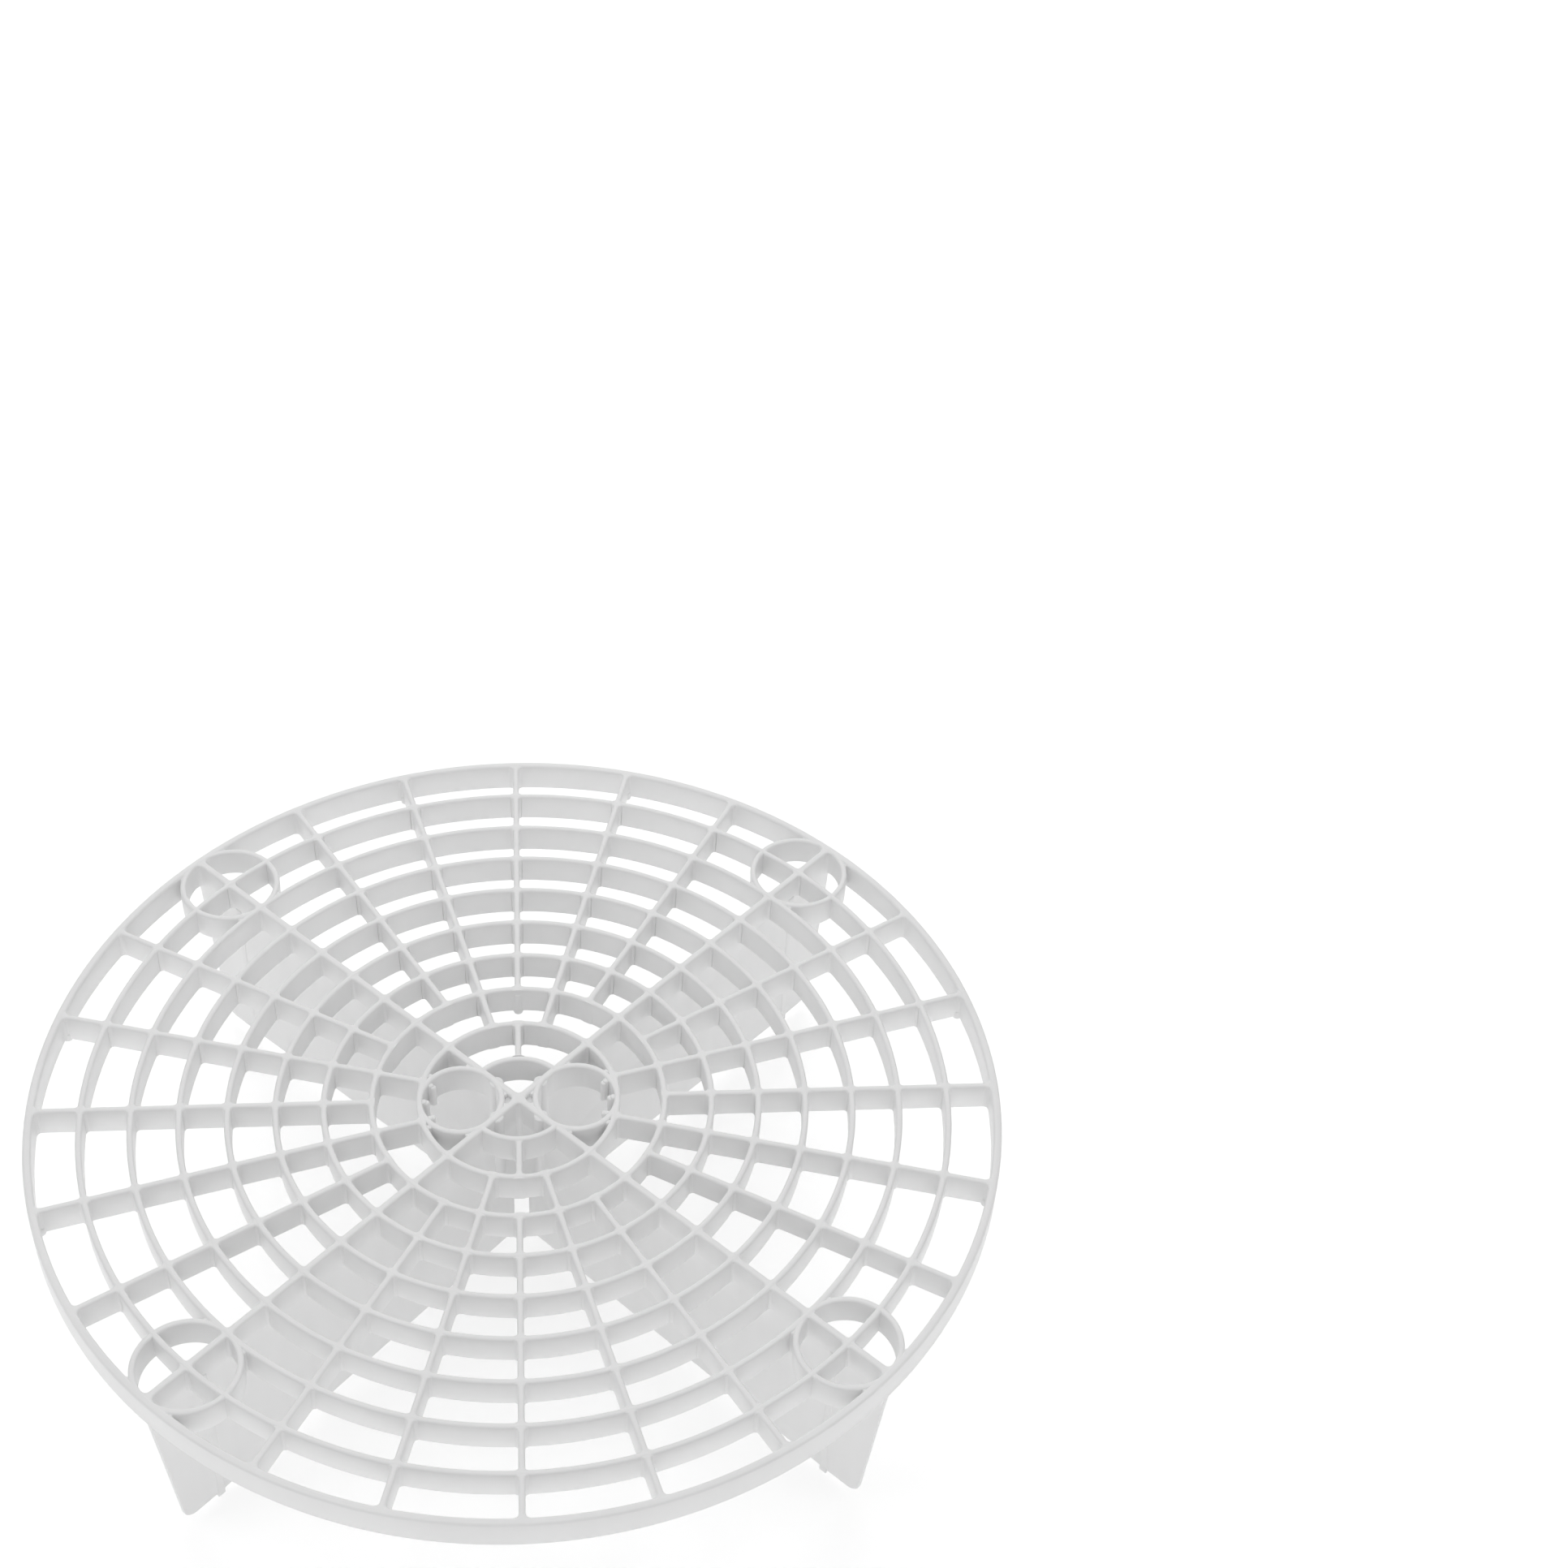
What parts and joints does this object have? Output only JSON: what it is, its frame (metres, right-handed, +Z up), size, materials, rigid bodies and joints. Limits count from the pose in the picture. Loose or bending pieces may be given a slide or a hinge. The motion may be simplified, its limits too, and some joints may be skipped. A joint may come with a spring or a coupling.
{
  "type": "bucket grit insert",
  "caption": "Round open plastic grid of rings and radial ribs on crossed standing vanes, with finger wells; keeps settled grit at a bucket's bottom.",
  "frame": {"origin": "on the floor under the centre of the round grid", "axes": "+Z up through the centre, -Y towards the front; the finger wells lie along X and the vanes along the diagonals"},
  "size_m": [0.26, 0.26, 0.062],
  "materials": {
    "rim_plastic": "natural white polypropylene, satin from the mould",
    "grid_plastic": "natural white polypropylene, satin, with rounded upper edges",
    "vane_plastic": "natural white polypropylene, satin, with faint vertical flow marks",
    "well_plastic": "natural white polypropylene, satin",
    "collar_plastic": "natural white polypropylene, satin"
  },
  "bodies": {
    "root": {"centre_arc_back": "grid_plastic", "centre_arc_front": "grid_plastic", "centre_rib_back": "grid_plastic", "centre_rib_front": "grid_plastic", "corner_collar_back_left": "collar_plastic", "corner_collar_back_right": "collar_plastic", "corner_collar_front_left": "collar_plastic", "corner_collar_front_right": "collar_plastic", "finger_well_left": "well_plastic", "finger_well_right": "well_plastic", "grid_rib_000": "grid_plastic", "grid_rib_015": "grid_plastic", "grid_rib_030": "grid_plastic", "grid_rib_060": "grid_plastic", "grid_rib_075": "grid_plastic", "grid_rib_090": "grid_plastic", "grid_rib_105": "grid_plastic", "grid_rib_120": "grid_plastic", "grid_rib_150": "grid_plastic", "grid_rib_165": "grid_plastic", "grid_rib_180": "grid_plastic", "grid_rib_195": "grid_plastic", "grid_rib_210": "grid_plastic", "grid_rib_240": "grid_plastic", "grid_rib_255": "grid_plastic", "grid_rib_270": "grid_plastic", "grid_rib_285": "grid_plastic", "grid_rib_300": "grid_plastic", "grid_rib_330": "grid_plastic", "grid_rib_345": "grid_plastic", "grid_ring_2": "grid_plastic", "grid_ring_3": "grid_plastic", "grid_ring_4": "grid_plastic", "grid_ring_5": "grid_plastic", "grid_ring_6": "grid_plastic", "grid_ring_7": "grid_plastic", "grid_ring_8": "grid_plastic", "grid_ring_9": "grid_plastic", "outer_rim": "rim_plastic", "vane_back_left": "vane_plastic", "vane_back_right": "vane_plastic", "vane_front_left": "vane_plastic", "vane_front_right": "vane_plastic"}
  },
  "joints": []
}
